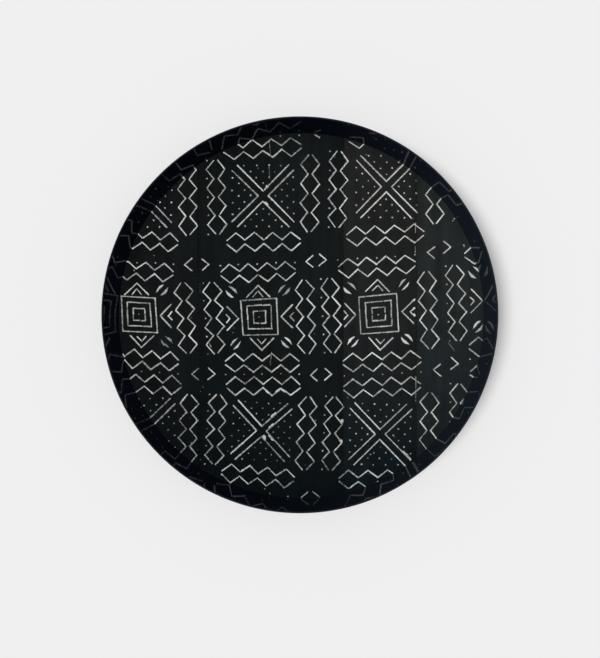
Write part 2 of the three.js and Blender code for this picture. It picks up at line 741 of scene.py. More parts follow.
SQUARES = (
    NestedSquares(
        ((-234.7, 25.6), (-190.5, 23.0), (-187.2, -22.5), (-232.7, -19.9)),
        (-214.6, 42.5), (-207.9, -41.1), None, (-184.1, -0.4),
        (SplitOval(-181.5, 33.3), SplitOval(-174.9, -34.0, 3.3, 0.95)),
    ),
    NestedSquares(
        ((-79.1, 19.6), (-32.3, 22.6), (-30.4, -24.5), (-76.0, -25.1)),
        (-56.6, 39.6), (-51.8, -44.6), (-82.1, -3.6), (-25.9, -0.9),
        (
            SplitOval(-90.7, 30.3, 3.2), SplitOval(-22.4, 33.3, 3.1, 0.7),
            SplitOval(-85.5, -36.3, 2.7), SplitOval(-19.1, -34.9, 2.7, 0.1),
        ),
    ),
    NestedSquares(
        ((74.7, 24.3), (124.4, 28.8), (126.5, -20.6), (77.6, -23.8)),
        (99.3, 47.0), (103.1, -44.4), (71.0, 0.9), (131.3, 4.8),
        (
            SplitOval(62.7, 35.9, 3.9), SplitOval(134.0, 40.9, 2.7, 0.1),
            SplitOval(67.3, -34.1, 2.7, 0.1), SplitOval(137.9, -31.0, 2.7, 0.1),
        ),
    ),
    NestedSquares(
        ((239.0, 43.0), (286.0, 45.0), (288.0, -3.0), (241.0, -5.0)),
        (262.0, 62.0), (264.0, -26.0), (236.0, 19.1), None,
        (SplitOval(226.0, 56.0, 4.0, 0.1), SplitOval(230.0, -14.4, 2.5, 0.1)),
    ),
)
ANGLE_PAIRS = (
    AnglePair((-152.1, 66.4), (-120.1, 66.4)),
    AnglePair((6.2, 70.8), (32.4, 72.6)),
    AnglePair((164.7, 82.4), (194.5, 89.1)),
    AnglePair((-142.7, -75.9), (-112.4, -75.9)),
    AnglePair((11.7, -77.3), (39.8, -76.4)),
    AnglePair((172.3, -71.0), (204.0, -62.2)),
    AnglePair((-0.3, -237.3), (23.8, -236.2)),
)
LOOSE_DOTS = (
    (-27.2, 234.0), (-2.7, 235.0), (197.8, 124.3), (211.2, 91.9),
    (-47.0, -226.3), (-41.1, -232.6), (-17.0, -235.2), (-96.0, -176.0),
)
# Thin lines of bare thread along the seams: both ends of each
SEAM_LINES = (
    ((-41.6, 226.0), (-39.9, 207.0)),
    ((-42.0, 197.0), (-41.4, 179.0)),
    ((-38.8, -48.0), (-40.6, -64.0)),
    ((149.0, 121.0), (148.6, 108.0)),
    ((148.4, 91.0), (148.2, 82.0)),
    ((149.2, -79.0), (149.2, -111.0)),
)
# Where a line crosses a seam's ridge, or where the brush rested, the paint has pooled: its start, its end and
# half its width
POOLS = (
    ((-48.8, -157.8), (-47.8, -159.6), 2.1),
    ((-41.8, -156.8), (-37.2, -162.3), 1.05),
    ((-39.2, -131.4), (-33.4, -126.4), 1.0),
    ((-41.6, -145.5), (-36.7, -140.8), 0.9),
    ((-46.6, 147.0), (-43.8, 144.2), 1.35),
    ((-45.0, 168.8), (-44.0, 167.8), 1.15),
    ((-32.5, -98.6), (-27.4, -95.2), 1.20),
    ((-26.4, -95.2), (-21.0, -99.6), 1.20),
    ((-46.6, -97.2), (-42.2, -101.0), 1.05),
    ((146.0, 19.8), (147.4, 21.0), 1.30),
    ((146.4, 9.4), (147.6, 10.2), 1.30),
    ((146.7, 1.6), (148.0, 0.4), 1.20),
    ((134.0, -178.0), (141.5, -186.8), 1.7),
    ((53.4, -136.6), (53.8, -138.2), 1.9),
    ((51.5, -162.9), (52.0, -164.4), 1.9),
)
# Where the paint has worn, or was laid on more thickly: the middle of the place, its reach, and how much
# drier the lines look there
WORN_PLACES = (
    ((0.0, 215.0), 75.0, 0.30),
    ((10.0, -215.0), 75.0, 0.40),
    ((-160.0, -150.0), 75.0, 0.40),
    ((-200.0, 20.0), 60.0, -0.15),
    ((120.0, 120.0), 110.0, -0.35),
)


@dataclass
class PaintedPattern:
    """The cloth's traditional pattern as brush strokes.

    Attributes:
        line: Usual half width of a line.
        dot: Usual half width of a dot.
        open_corners: Share of the corners that are left open.
        specks: Number of stray specks of paint.
        cloth_radius: How far out the specks lie.
        seed: Start of the random draws.
        strokes: What has been painted so far.
    """

    line: float = 0.78
    dot: float = 0.96
    open_corners: float = 0.60
    specks: int = 42
    cloth_radius: float = 230.0
    seed: int = 7
    strokes: list[Stroke] = field(default_factory=list)

    # The least and greatest of what the hand varies. Widths are against the usual one, and dryness adds to
    # the brush's own.
    LINE_WIDTHS = (0.72, 1.18)
    LINE_DRYNESS = (-0.25, 0.45)
    CORNER_OPENINGS = (0.9, 2.2)
    WIDEST_OPENING = 0.3
    DOT_SLIP = 0.6
    DOT_DRAG = 0.45
    DOT_WIDTHS = (0.70, 1.10)
    DOT_DRYNESS = (0.1, 0.7)
    DAB_ENDS = (-0.18, 0.18)
    DAB_GAPS = (0.25, 0.62)
    DAB_SHORTFALL = (0.0, 1.2)
    DAB_WIDTHS = (0.85, 1.1)
    CRESCENT_SLIDES = (-1.0, 1.0)
    CRESCENT_WIDTHS = (2.3, 3.3)
    CRESCENT_TILTS = (-0.25, 0.25)
    CRESCENT_DRYNESS = (-0.2, 0.3)
    SPECK_SIZES = (0.18, 0.36)
    SPECK_DRYNESS = (0.7, 1.0)

    def __post_init__(self) -> None:
        """Starts the random draws and paints every motif."""
        self.chance = random.Random(self.seed)
        for chain in CHAINS:
            self.paint_chain(chain)
        for cross in CROSSES:
            self.paint_cross(cross)
        for squares in SQUARES:
            self.paint_squares(squares)
        for pair in ANGLE_PAIRS:
            self.paint_chevron(pair.left, (1, 0), AnglePair.CHEVRON)
            self.paint_chevron(pair.right, (-1, 0), AnglePair.CHEVRON)
        self.paint_touches()

    def near(self, place: Point, slip: float) -> Point:
        """Moves a point by at most this slip along each axis, as a hand does."""
        return place[0] + self.chance.uniform(-slip, slip), place[1] + self.chance.uniform(-slip, slip)

    def worn(self, place: Point, dry: float) -> float:
        """Works out how dry a stroke looks, with what wear has done to it.

        Args:
            place: Where the stroke is.
            dry: How dry the brush was.

        Returns:
            The dryness, from 0 to 1.
        """
        for middle, reach, more in WORN_PLACES:
            dry += more * math.exp(-((math.dist(place, middle) / reach) ** 2))
        return min(1.0, max(0.0, dry))

    def paint_line(
        self, points: Sequence[Point], width: float = 1.0, dry: float = 0.25, slip: float = 0.5
    ) -> None:
        """Paints a line of straight strokes.

        Args:
            points: Its corners.
            width: Its width against the usual one.
            dry: How dry the brush is.
            slip: How far a corner may land from its place.
        """
        landed = [self.near(point, slip) for point in points]
        for number, (start, end) in enumerate(zip(landed, landed[1:])):
            halves = [self.line * width * self.chance.uniform(*self.LINE_WIDTHS) for _ in range(2)]
            wear = self.worn(start, dry + self.chance.uniform(*self.LINE_DRYNESS))
            # Each side of a zigzag is a pull of its own, and some start a little past the corner
            if number and self.chance.random() < self.open_corners:
                skip = self.chance.uniform(*self.CORNER_OPENINGS) / math.dist(start, end)
                start = between(start, end, min(self.WIDEST_OPENING, skip))
            self.strokes.append(Stroke(start, end, *halves, wear))

    def paint_dot(self, place: Point, size: float = 1.0) -> None:
        """Paints a dot, which is a very short stroke.

        Args:
            place: Its middle.
            size: Its width against the usual one.
        """
        middle = self.near(place, self.DOT_SLIP)
        end = self.near(middle, self.DOT_DRAG)
        halves = [self.dot * size * self.chance.uniform(*self.DOT_WIDTHS) for _ in range(2)]
        wear = self.worn(middle, self.chance.uniform(*self.DOT_DRYNESS))
        self.strokes.append(Stroke(middle, end, *halves, wear))

    def paint_chain(self, chain: Chain) -> None:
        """Paints a chain and its dots.

        Args:
            chain: Where it is and how it lies.
        """
        steps = range(2 * Chain.DIAMONDS + 1)
        for side in (1, -1):
            strand = [chain.place(k, side * (Chain.HALF_WIDTH if k % 2 else Chain.NECK)) for k in steps]
            self.paint_line(strand)
        if chain.dots is not DotSide.NONE:
            for k in steps[::2]:
                self.paint_dot(chain.place(k, chain.dots.value * chain.dot_distance), Chain.DOT_SIZE)

    def paint_cross(self, cross: Cross) -> None:
        """Paints a cross and its dots.

        Args:
            cross: Where it is and how its arms slope.
        """
        arm = Cross.ARM * cross.size
        for quarter in range(len(Cross.QUARTER_TURNS)):
            arms = [(-arm, Cross.TIP + arm), (0.0, Cross.TIP), (arm, Cross.TIP + arm)]
            corners = [cross.place(quarter, side, out) for side, out in arms]
            self.paint_line(corners, width=Cross.LINE_WIDTH, slip=Cross.SLIP)
            for count, out in Cross.DOT_ROWS:
                for k in range(count):
                    side = (k - (count - 1) / 2) * Cross.DOT_SPACING * cross.size
                    self.paint_dot(cross.place(quarter, side, out * cross.size), cross.dot)

    def paint_chevron(self, tip: Point, opening: Point, size: Point, width: float = 1.0) -> None:
        """Paints a chevron.

        Args:
            tip: Its point.
            opening: The direction in which it opens, a step of 1 along one axis.
            size: Half its width, and its depth.
            width: Its line's width against the usual one.
        """
        half, depth = size
        back = (tip[0] + opening[0] * depth, tip[1] + opening[1] * depth)
        ends = [(back[0] - side * opening[1] * half, back[1] + side * opening[0] * half) for side in (1, -1)]
        self.paint_line([ends[0], tip, ends[1]], width=width)

    def paint_squares(self, squares: NestedSquares) -> None:
        """Paints nested squares, and the chevrons and ovals round them.

        Args:
            squares: Where its marks are.
        """
        kind = NestedSquares
        middle = tuple(sum(corner[axis] for corner in squares.corners) / 4 for axis in (0, 1))
        for scale, dabs, bare in kind.OUTLINES:
            ring = [between(middle, corner, scale) for corner in squares.corners]
            for start, end in zip(ring, ring[1:] + ring[:1]):
                self.paint_in_dabs(start, end, dabs, bare)
        self.paint_dot(middle, kind.DOT_SIZE)
        tall = ((squares.top, (0, -1), kind.FAR_INNER), (squares.bottom, (0, 1), kind.NEAR_INNER))
        for tip, opening, inner_size in tall:
            self.paint_chevron(tip, opening, kind.TALL_CHEVRON)
            inner = (tip[0], tip[1] + opening[1] * kind.TALL_STEP)
            self.paint_chevron(inner, opening, inner_size, kind.TALL_INNER_WIDTH)
        for tip, opening in ((squares.left, (-1, 0)), (squares.right, (1, 0))):
            if tip is not None:
                self.paint_chevron(tip, opening, kind.WIDE_CHEVRON, kind.WIDE_WIDTH)
                inner = (tip[0] + opening[0] * kind.WIDE_STEP, tip[1])
                self.paint_chevron(inner, opening, kind.WIDE_INNER)
        for oval in squares.ovals:
            self.paint_split_oval(oval, math.atan2(oval.y - middle[1], oval.x - middle[0]))

    def paint_in_dabs(self, start: Point, end: Point, dabs: int, bare: float) -> None:
        """Paints a straight line in dry dabs with bare cloth between them, as on the squares.

        Args:
            start: Its beginning.
            end: Its end.
            dabs: The number of dabs.
            bare: The bare length between two dabs' middles, of which their round ends cover a part.
        """
        length = math.dist(start, end)
        edges = [0.0]
        for k in range(1, dabs):
            edge = (k + self.chance.uniform(*self.DAB_ENDS)) / dabs
            half_bare = bare * self.chance.uniform(*self.DAB_GAPS) / length
            edges += [edge - half_bare, edge + half_bare]
        edges.append(1.0 - self.chance.uniform(*self.DAB_SHORTFALL) / length)
        for low, high in zip(edges[::2], edges[1::2]):
            points = [between(start, end, share) for share in (low, high)]
            self.paint_line(points, width=self.chance.uniform(*self.DAB_WIDTHS), dry=0.5, slip=0.3)

    def paint_split_oval(self, oval: SplitOval, heading: float) -> None:
        """Paints a split oval's two crescents.

        Args:
            oval: Where it is and how it is painted.
            heading: The direction of the gap, in radians.
        """
        for side in (1, -1):
            slide = self.chance.uniform(*self.CRESCENT_SLIDES)
            belly = self.chance.uniform(*self.CRESCENT_WIDTHS)
            tilt = self.chance.choice(self.CRESCENT_TILTS)
            wear = min(1.0, max(0.0, oval.wear + self.chance.uniform(*self.CRESCENT_DRYNESS)))
            # Short fat strokes side by side fill the crescent
            for k in range(-SplitOval.STROKES, SplitOval.STROKES + 1):
                share = k / SplitOval.END
                swell = belly * (1 - abs(share) ** SplitOval.BLUNTNESS) * (1 + tilt * share)
                half = max(SplitOval.THINNEST, swell / 2)
                length = share * SplitOval.HALF_LENGTH + slide
                middle = beside((oval.x, oval.y), heading, length, side * (oval.gap + half))
                ends = [beside(middle, heading, way * SplitOval.HALF_STROKE) for way in (-1, 1)]
                self.strokes.append(Stroke(*ends, half, half, wear))

    def paint_touches(self) -> None:
        """Paints the loose marks, the pools, the bare thread along the seams and the stray specks."""
        for dot in LOOSE_DOTS:
            self.paint_dot(dot, size=0.8)
        self.paint_line([(17.0, 235.4), (23.8, 232.4)])
        self.paint_line([(191.5, -35.4), (199.5, -45.9)], width=0.3, dry=0.9)
        self.strokes.extend(Stroke(start, end, half, half * 0.8, 0.1) for start, end, half in POOLS)
        # A faint smudge
        self.strokes.append(Stroke((-119.0, -37.4), (-117.6, -40.6), 0.8, 0.6, 0.9))
        for ends in SEAM_LINES:
            self.paint_line(ends, width=0.62, dry=0.75, slip=0.2)
        for _ in range(self.specks):
            out = self.cloth_radius * math.sqrt(self.chance.random())
            middle = beside((0.0, 0.0), self.chance.uniform(0, math.tau), out)
            size = self.chance.uniform(*self.SPECK_SIZES)
            end = self.near(middle, 0.5)
            self.strokes.append(Stroke(middle, end, size, size, self.chance.uniform(*self.SPECK_DRYNESS)))


class StrokeGrid:
    """Finds the strokes near a place without trying them all."""

    def __init__(self, strokes: Iterable[Stroke], cell: float = 8.0) -> None:
        """Sorts the strokes into square cells.

        Args:
            strokes: The strokes.
            cell: Side of a cell.
        """
        self.cell = cell
        self.cells: dict[tuple[int, int], list[Stroke]] = {}
        for stroke in strokes:
            across, along = (self.indexes(stroke.start[axis], stroke.end[axis]) for axis in (0, 1))
            for i in across:
                for j in along:
                    self.cells.setdefault((i, j), []).append(stroke)

    def index(self, value: float) -> int:
        """Gives the cell number of a coordinate."""
        return math.floor(value / self.cell)

    def indexes(self, first: float, last: float) -> range:
        """Gives the cell numbers that a stroke between two coordinates reaches, in either order."""
        return range(self.index(min(first, last) - MUD_REACH), self.index(max(first, last) + MUD_REACH) + 1)

    def paint_at(self, place: Point) -> tuple[float, float, float]:
        """Tells how a place is painted.

        Args:
            place: A point on the cloth.

        Returns:
            The least distance to a stroke in half widths, at most FADE; that stroke's dryness; and the least
            distance to a stroke as a share of MUD_REACH, at most 1.
        """
        reach, dry, near = FADE, 0.3, 1.0
        for stroke in self.cells.get((self.index(place[0]), self.index(place[1])), ()):
            here = stroke.reach(place)
            near = min(near, here * stroke.widest() / MUD_REACH)
            if here < reach:
                reach, dry = here, stroke.dry
        return reach, dry, near


# Sub-assemblies


class Part(Enum):
    """What is picked in edit mode, and its name in an edit mesh."""

    EDGE = "edges"
    FACE = "faces"


def select_alone(piece: Piece) -> None:
    """Leaves object mode and selects one piece alone, as operators act on all that is selected.

    Args:
        piece: The piece, which becomes the active one.
    """
    if bpy.context.object and bpy.context.object.mode != "OBJECT":
        bpy.ops.object.mode_set(mode="OBJECT")
    bpy.ops.object.select_all(action="DESELECT")
    piece.select_set(True)
    bpy.context.view_layer.objects.active = piece


def add_cylinder(name: str, sides: int, radius: float, height: float) -> Piece:
    """Adds a cylinder that stands on the origin, and opens it in edit mode.

    Args:
        name: Its name.
        sides: The number of its sides.
        radius: Its radius.
        height: Its height.

    Returns:
        The cylinder, at the origin, unturned and unscaled.
    """
    bpy.ops.object.select_all(action="DESELECT")
    middle = (0, 0, height / 2)
    bpy.ops.mesh.primitive_cylinder_add(vertices=sides, radius=radius, depth=height, location=middle)
    piece = bpy.context.object
    piece.name = name
    select_alone(piece)
    bpy.ops.object.transform_apply(location=True, rotation=True, scale=True)
    bpy.ops.object.mode_set(mode="EDIT")
    return piece


def pick(piece: Piece, part: Part, wanted: Callable[[bmesh.types.BMEdge | bmesh.types.BMFace], bool]) -> None:
    """Selects the wanted edges or faces alone, in edit mode.

    Args:
        piece: The piece, in edit mode.
        part: Whether edges or faces are picked.
        wanted: Tells of one edge or face whether it is wanted.
    """
    bpy.ops.mesh.select_mode(type=part.name)
    bpy.ops.mesh.select_all(action="DESELECT")
    mesh = bmesh.from_edit_mesh(piece.data)
    for element in getattr(mesh, part.value):
        if wanted(element):
            element.select_set(True)
    bmesh.update_edit_mesh(piece.data)


def runs_round(edge: bmesh.types.BMEdge) -> bool:
    """Tells whether an edge runs round the tray, with both ends equally far out."""
    first, last = (vertex.co.xy.length for vertex in edge.verts)
    return abs(first - last) < HAIR


def piece_from(mesh: bmesh.types.BMesh, name: str) -> Piece:
    """Makes a piece of an edit mesh.

    Args:
        mesh: The edit mesh, which is freed.
        name: The piece's name.

    Returns:
        The piece, which is selected alone.
    """
    data = bpy.data.meshes.new(name)
    mesh.to_mesh(data)
    mesh.free()
    piece = bpy.data.objects.new(name, data)
    bpy.context.collection.objects.link(piece)
    select_alone(piece)
    return piece


@dataclass
class TrayBody:
    """The hoop and the board.

    Attributes:
        round_steps: Steps round the hoop, enough for a smooth mirror image.
        board_steps: Steps round the board.
        clearance: The gap between the board and the hoop.
        lip_steps: Steps over the hoop's rounded top edge.
        lip_share: How much of the wall's thickness each side's rounding takes.
        foot_chamfer: The hoop's small chamfers at its foot.
        foot_steps: Steps over one such chamfer.
        board_easing: How far the board's edges are rounded.
        board_easing_steps: Steps over such an edge.
        board_rings: Rings of faces inside each flat side of the board, which keep its faces small.
        board_smoothing: The sharpest turn, in degrees, that is shaded smooth on the board.
    """

    round_steps: int = 720
    board_steps: int = 240
    clearance: float = 0.3 * MM
    lip_steps: int = 6
    lip_share: float = 0.49
    foot_chamfer: float = 0.4 * MM
    foot_steps: int = 2
    board_easing: float = 0.5 * MM
    board_easing_steps: int = 3
    board_rings: int = 3
    board_smoothing: float = 50.0

    def __post_init__(self) -> None:
        """Reads the sizes from the frame."""
        self.outer, _, self.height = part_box("rim_hoop")[1]
        self.board_radius, _, self.board_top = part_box("tray_panel")[1]
        self.inner = self.board_radius + self.clearance

    def hoop(self) -> Piece:
        """Models the hoop: a ring of wall, thickened inwards, with a round top edge.

        Returns:
            The hoop.
        """
        hoop = add_cylinder("hoop_wall", self.round_steps, self.outer, self.height)
        wall = self.outer - self.inner
        pick(hoop, Part.FACE, lambda face: abs(face.normal.z) > 0.9)
        bpy.ops.mesh.inset(thickness=wall, depth=0)
        bpy.ops.mesh.delete(type="FACE")
        pick(hoop, Part.EDGE, lambda edge: edge.is_boundary)
        bpy.ops.mesh.bridge_edge_loops()
        # Both top edges round over, each by nearly half the wall, until they meet
        top = self.height - HAIR
        pick(hoop, Part.EDGE, lambda edge: runs_round(edge) and all(v.co.z > top for v in edge.verts))
        bpy.ops.mesh.bevel(offset=wall * self.lip_share, segments=self.lip_steps, affect="EDGES")
        pick(hoop, Part.EDGE, lambda edge: runs_round(edge) and all(v.co.z < HAIR for v in edge.verts))
        bpy.ops.mesh.bevel(offset=self.foot_chamfer, segments=self.foot_steps, affect="EDGES")
        # The rounded edges bend the smooth shading of the faces beside them. A loop next to each edge keeps
        # that off the rest of the wall, which has to mirror the cloth truly.
        for level in (2 * self.foot_chamfer, self.height - wall):
            bpy.ops.mesh.select_all(action="SELECT")
            bpy.ops.mesh.bisect(plane_co=(0, 0, level), plane_no=(0, 0, 1))
        bpy.ops.mesh.select_all(action="SELECT")
        bpy.ops.mesh.normals_make_consistent(inside=False)
        bpy.ops.object.mode_set(mode="OBJECT")
        bpy.ops.object.shade_smooth()
        hoop.data.materials.append(BlackLacquer().material())
        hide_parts("rim_hoop")
        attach(hoop, "root")
        return hoop

    def is_flat_side(self, face: bmesh.types.BMFace) -> bool:
        """Tells whether a face is one of the board's flat sides, which has a corner at every step."""
        return len(face.verts) == self.board_steps

    def board(self) -> Piece:
        """Models the board, a disc with eased edges.

        Returns:
            The board.
        """
        board = add_cylinder("base_board", self.board_steps, self.board_radius, self.board_top)
        pick(board, Part.EDGE, lambda edge: any(self.is_flat_side(face) for face in edge.link_faces))
        bpy.ops.mesh.bevel(offset=self.board_easing, segments=self.board_easing_steps, affect="EDGES")
        for _ in range(self.board_rings):
            pick(board, Part.FACE, self.is_flat_side)
            bpy.ops.mesh.inset(thickness=self.board_radius / (self.board_rings + 1), depth=0)
        bpy.ops.object.mode_set(mode="OBJECT")
        bpy.ops.object.shade_smooth_by_angle(angle=math.radians(self.board_smoothing))
        board.data.materials.append(PaintedBoard().material())
        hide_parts("tray_panel")
        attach(board, "root")
        return board


@dataclass
class PaintedCloth:
    """The lining: handwoven strips with the painted pattern carried in each strip's mesh.

    Lengths are in millimetres.

    Attributes:
        grid: Spacing of the plain mesh between the strokes.
        grid_slip: How far a point of that mesh may lie from its place.
        grid_margin: How far that mesh stays from the strip's edges.
        outline_step: Spacing of the points on the round cut.
        cut_allowance: How much further out the limp cut edge lies than its solid, still clear of the wall.
        cut_inset: How far inside that reach the cut runs, so that its unevenness stays clear too.
        cut_unevenness: How unevenly the round edge is cut.
        wave_height: How far the cloth swells and dips.
        wave_length: Length of those swells.
        selvedge: Width of the denser edge beside a seam.
        selvedge_ridge: How far from the seam it is highest.
        selvedge_rise: How far it stands up.
        selvedge_shade: How much darker the dye is in its denser weave.
        shade_reach: How far from the seam that shade fades, against the selvedge's width.
        edge_round: How far in from a seam the surface rounds down.
        edge_drop: How far it rounds down there.
        smoothing: The sharpest turn, in degrees, that is shaded smooth.
        dyes: The colour that each strip took in the dye, from the left.
        fade_and_painted_light: How strongly painted light makes the dye lighter at the far end and darker at
            the near end, for red, green and blue.
        painted_light_by_strip: How strong that painted light is in each strip against the usual.
        seed: Start of the random draws, one more for each strip.
    """

    grid: float = 5.0
    grid_slip: float = 0.8
    grid_margin: float = 1.0
    outline_step: float = 2.0
    cut_allowance: float = 1.35
    cut_inset: float = 0.08
    cut_unevenness: float = 0.04
    wave_height: float = 0.10
    wave_length: float = 42.0
    selvedge: float = 3.2
    selvedge_ridge: float = 1.6
    selvedge_rise: float = 0.12
    selvedge_shade: float = 0.18
    shade_reach: float = 1.6
    edge_round: float = 0.6
    edge_drop: float = 0.35
    smoothing: float = 60.0
    dyes: tuple[str, ...] = ("#0C1113", "#070E10", "#091012", "#161A1B", "#1C2224")
    fade_and_painted_light: Place = (0.38, 0.20, 0.11)
    painted_light_by_strip: tuple[float, ...] = (1.0, 1.0, 1.0, 1.5, 0.85)
    seed: int = 100

    # A stroke shorter than this is meshed as a dot. One further off the strip than the margin isn't meshed.
    SHORTEST_STROKE = 1.2
    STROKE_MARGIN = 1.5
    DOT_SIDES = 8
    STROKE_END_STEPS = 4
    # Distances from a seam at which lines of the mesh follow its rounded edge
    EDGE_LINES = (0.2, 0.45)
    # Points of the mesh closer together than this become one
    WELD = 0.01

    def __post_init__(self) -> None:
        """Reads the cloth's sizes from the frame and paints the pattern."""
        self.names = sorted(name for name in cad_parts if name.startswith("cloth_strip"))
        boxes = [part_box(name) for name in self.names]
        self.radius = boxes[-1][1][0] / MM + self.cut_allowance
        self.under = boxes[0][0][2] / MM
        self.top = boxes[0][1][2] / MM
        self.spans = [[low[0] / MM, high[0] / MM] for low, high in boxes]
        self.spans[0][0] = -self.radius
        self.spans[-1][1] = self.radius
        self.strokes = PaintedPattern().strokes
        self.lookup = StrokeGrid(self.strokes)

    def outline(self, left: float, right: float) -> list[Point]:
        """Draws a strip's outline, counterclockwise, with the round cut slightly uneven.

        Args:
            left: Its left edge.
            right: Its right edge.

        Returns:
            The outline's points.
        """
        first = math.acos(right / self.radius)
        last = math.acos(left / self.radius)
        steps = math.ceil((last - first) * self.radius / self.outline_step)
        far = [first + (last - first) * k / steps for k in range(steps + 1)]
        near = [math.tau - angle for angle in reversed(far)]
        # Where the cut runs on from one side to the other, their shared point counts once
        if right == self.radius:
            near = near[:-1]
        if left == -self.radius:
            near = near[1:]
        points = []
        for angle in far + near:
            wander = noise.noise(Vector((40 * math.cos(angle), 40 * math.sin(angle), 3.0)))
            out = self.radius - self.cut_inset + self.cut_unevenness * wander
            points.append((out * math.cos(angle), out * math.sin(angle)))
        # The unevenness doesn't move a corner off the seam
        return [(min(right, max(left, x)), y) for x, y in points]

    def seams(self, number: int) -> list[tuple[float, int]]:
        """Lists a strip's sewn edges.

        Args:
            number: The strip's place from the left, from 0.

        Returns:
            Where each sewn edge runs, and the direction from it into the strip.
        """
        edges = zip(self.spans[number], (1, -1))
        return [(edge, inward) for edge, inward in edges if abs(edge) != self.radius]

    def seam_gap(self, number: int, place: Point) -> float:
        """Tells how far a place is from the nearest seam.

        Args:
            number: The strip's place from the left, from 0.
            place: A point on the strip.

        Returns:
            The distance.
        """
        return max(0.0, min(inward * (place[0] - edge) for edge, inward in self.seams(number)))

    def dye_and_painted_light_at(self, number: int, place: Point) -> Colour:
        """Gives the dye's colour, darker beside a seam, with painted light: lighter far off, darker near.

        Args:
            number: The strip's place from the left, from 0.
            place: A point on the strip.

        Returns:
            Linear RGBA.
        """
        gap = self.seam_gap(number, place)
        shade = 1 - self.selvedge_shade * math.exp(-((gap / (self.shade_reach * self.selvedge)) ** 2))
        colour = linear(self.dyes[number])
        far = place[1] / self.radius
        # Painted light: the near end is darkened more than the far end is lightened
        painted_light = self.painted_light_by_strip[number] * (far - 0.5 * far * far)
        red, green, blue = (c * shade * (1 + share * painted_light) for c, share in zip(colour, self.fade_and_painted_light))
        return red, green, blue, 1.0

    def height(self, number: int, place: Point) -> float:
        """Tells how high the cloth's face is.

        Args:
            number: The strip's place from the left, from 0.
            place: A point on the strip.

        Returns:
            The height.
        """
        at = Vector((place[0] / self.wave_length, place[1] / self.wave_length, 0.7))
        level = self.top + self.wave_height * noise.noise(at)
        gap = self.seam_gap(number, place)
        level += self.selvedge_rise * math.exp(-((gap - self.selvedge_ridge) ** 2) / (self.selvedge / 2) ** 2)
        if gap < self.edge_round:
            share = 1 - gap / self.edge_round
            level -= self.edge_drop * (1 - math.sqrt(max(0.0, 1 - share * share)))
        return level

    def loops_of(self, stroke: Stroke) -> list[list[Point]]:
        """Lists the lines that the mesh follows along a stroke: its middle, its edge and where it fades out.

        Args:
            stroke: The stroke.

        Returns:
            Each line's points. A dot's first line is its middle point alone.
        """
        sizes = (1.0, FADE)
        if math.dist(stroke.start, stroke.end) < self.SHORTEST_STROKE:
            turns = [math.tau * k / self.DOT_SIDES for k in range(self.DOT_SIDES)]
            loops = [[between(stroke.start, stroke.end, 0.5)]]
            for scale in sizes:
                ring = [beside(stroke.start, turn, stroke.widest() * scale) for turn in turns]
                loops.append(ring + ring[:1])
            return loops
        across = math.atan2(stroke.end[1] - stroke.start[1], stroke.end[0] - stroke.start[0]) + math.pi / 2
        turns = [across + math.pi * k / self.STROKE_END_STEPS for k in range(self.STROKE_END_STEPS + 1)]
        loops = [[stroke.start, stroke.end]]
        for scale in sizes:
            loop = [beside(stroke.start, turn, stroke.half_width * scale) for turn in turns]
            loop += [beside(stroke.end, turn, -stroke.half_end * scale) for turn in turns]
            loops.append(loop + loop[:1])
        return loops

    def guides(self, number: int) -> list[list[Point]]:
        """Lists the lines that the strip's mesh has to follow.

        Args:
            number: The strip's place from the left, from 0.

        Returns:
            Each line's points.
        """
        left, right = self.spans[number]
        guides = []
        for stroke in self.strokes:
            reach = FADE * stroke.widest() + self.STROKE_MARGIN
            low, high = sorted((stroke.start[0], stroke.end[0]))
            if low - reach <= right and high + reach >= left:
                guides += self.loops_of(stroke)
        ridge = (self.selvedge_ridge, self.selvedge, 2 * self.selvedge)
        for gap in (*self.EDGE_LINES, self.edge_round, *ridge):
            for edge, inward in self.seams(number):
                x = edge + inward * gap
                end = math.sqrt((self.radius - self.edge_round) ** 2 - x * x)
                guides.append([(x, -end), (x, end)])
        return guides

    def plain_points(self, number: int) -> list[Point]:
        """Spreads points evenly over the bare cloth between the strokes.

        Args:
            number: The strip's place from the left, from 0.

        Returns:
            The points.
        """
        left, right = self.spans[number]
        chance = random.Random(self.seed + number)
        rows = math.ceil(self.radius / self.grid)
        slip, margin = self.grid_slip, self.grid_margin
        points = []
        for i in range(math.floor(left / self.grid), math.ceil(right / self.grid) + 1):
            for j in range(-rows, rows + 1):
                place = (
                    (i + (j % 2) / 2) * self.grid + chance.uniform(-slip, slip),
                    j * self.grid + chance.uniform(-slip, slip),
                )
                inside = math.hypot(*place) < self.radius - 2 * margin
                inside = inside and left + margin < place[0] < right - margin
                if inside and self.lookup.paint_at(place)[0] >= FADE:
                    points.append(place)
        return points

    def face_of(self, number: int) -> bmesh.types.BMesh:
        """Meshes a strip's painted face, with what the dye and the brush left on it, and the painted light.

        Args:
            number: The strip's place from the left, from 0.

        Returns:
            The face as an edit mesh.
        """
        outline = self.outline(*self.spans[number])
        points = list(outline)
        lines = []
        for guide in self.guides(number):
            lines += [(k, k + 1) for k in range(len(points), len(points) + len(guide) - 1)]
            points += guide
        points += self.plain_points(number)
        points += [between((0.0, 0.0), point, 1 - self.edge_round / self.radius) for point in outline]
        every = [Vector(point) for point in points]
        border = [list(range(len(outline)))]
        flat, _, cells, _, _, sources = delaunay_2d_cdt(every, lines, border, 1, self.WELD)
        # A stroke runs on past the strip's edge, so only the cells inside the outline count
        faces = [cell for cell, source in zip(cells, sources) if source]

